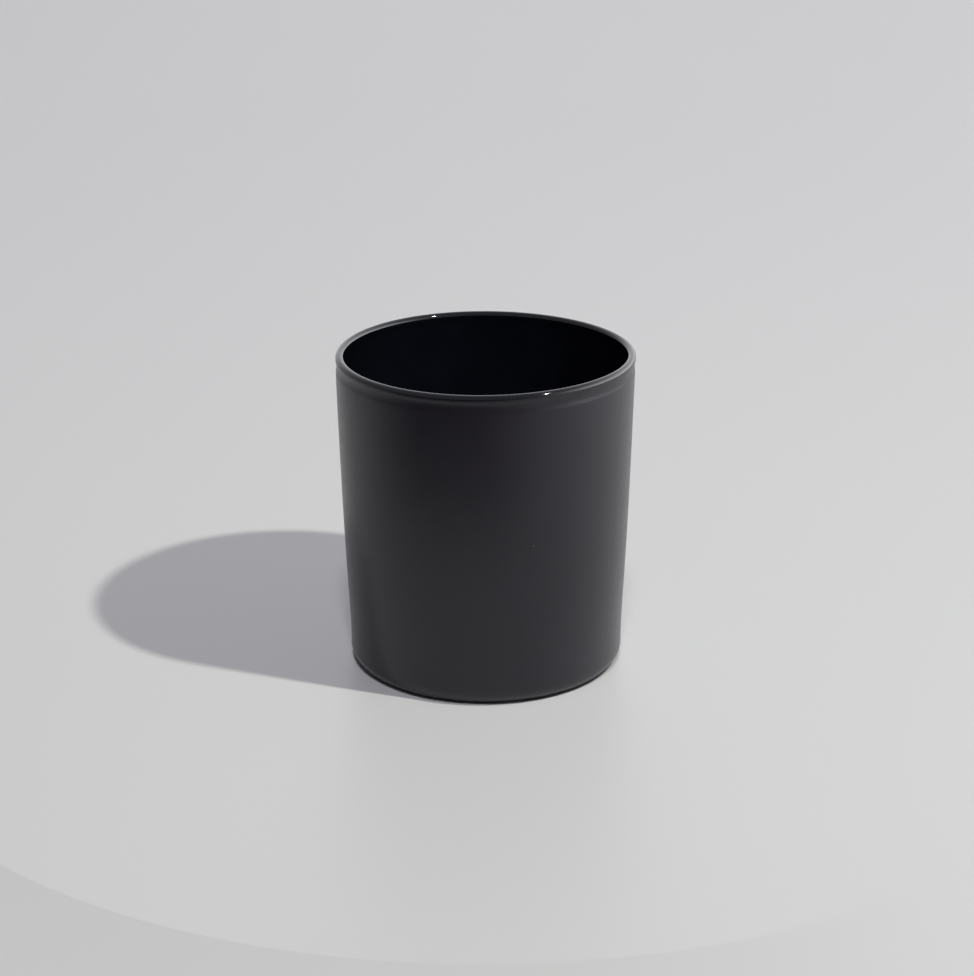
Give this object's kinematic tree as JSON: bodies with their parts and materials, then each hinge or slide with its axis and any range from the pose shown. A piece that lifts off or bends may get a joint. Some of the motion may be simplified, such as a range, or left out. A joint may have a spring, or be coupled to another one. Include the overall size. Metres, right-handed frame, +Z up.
{
  "type": "empty candle jar",
  "caption": "Round open-topped glass jar with a slight taper, rounded heel and thick base, matte black lacquer outside and glossy black inside and on the rim.",
  "frame": {"origin": "on the jar's axis, in the plane of the standing ring", "axes": "+Z up along the jar's axis, from the standing ring to the mouth; X and Y are interchangeable, because the jar is round"},
  "size_m": [0.08, 0.08, 0.0868],
  "materials": {
    "black_glass": "glossy, fire polished, near black",
    "matte_lacquer": "fine matte sprayed lacquer, near black"
  },
  "bodies": {
    "root": {"glass_tumbler": "black_glass", "wall_lacquer": "matte_lacquer", "base_lacquer": "matte_lacquer"}
  },
  "joints": []
}
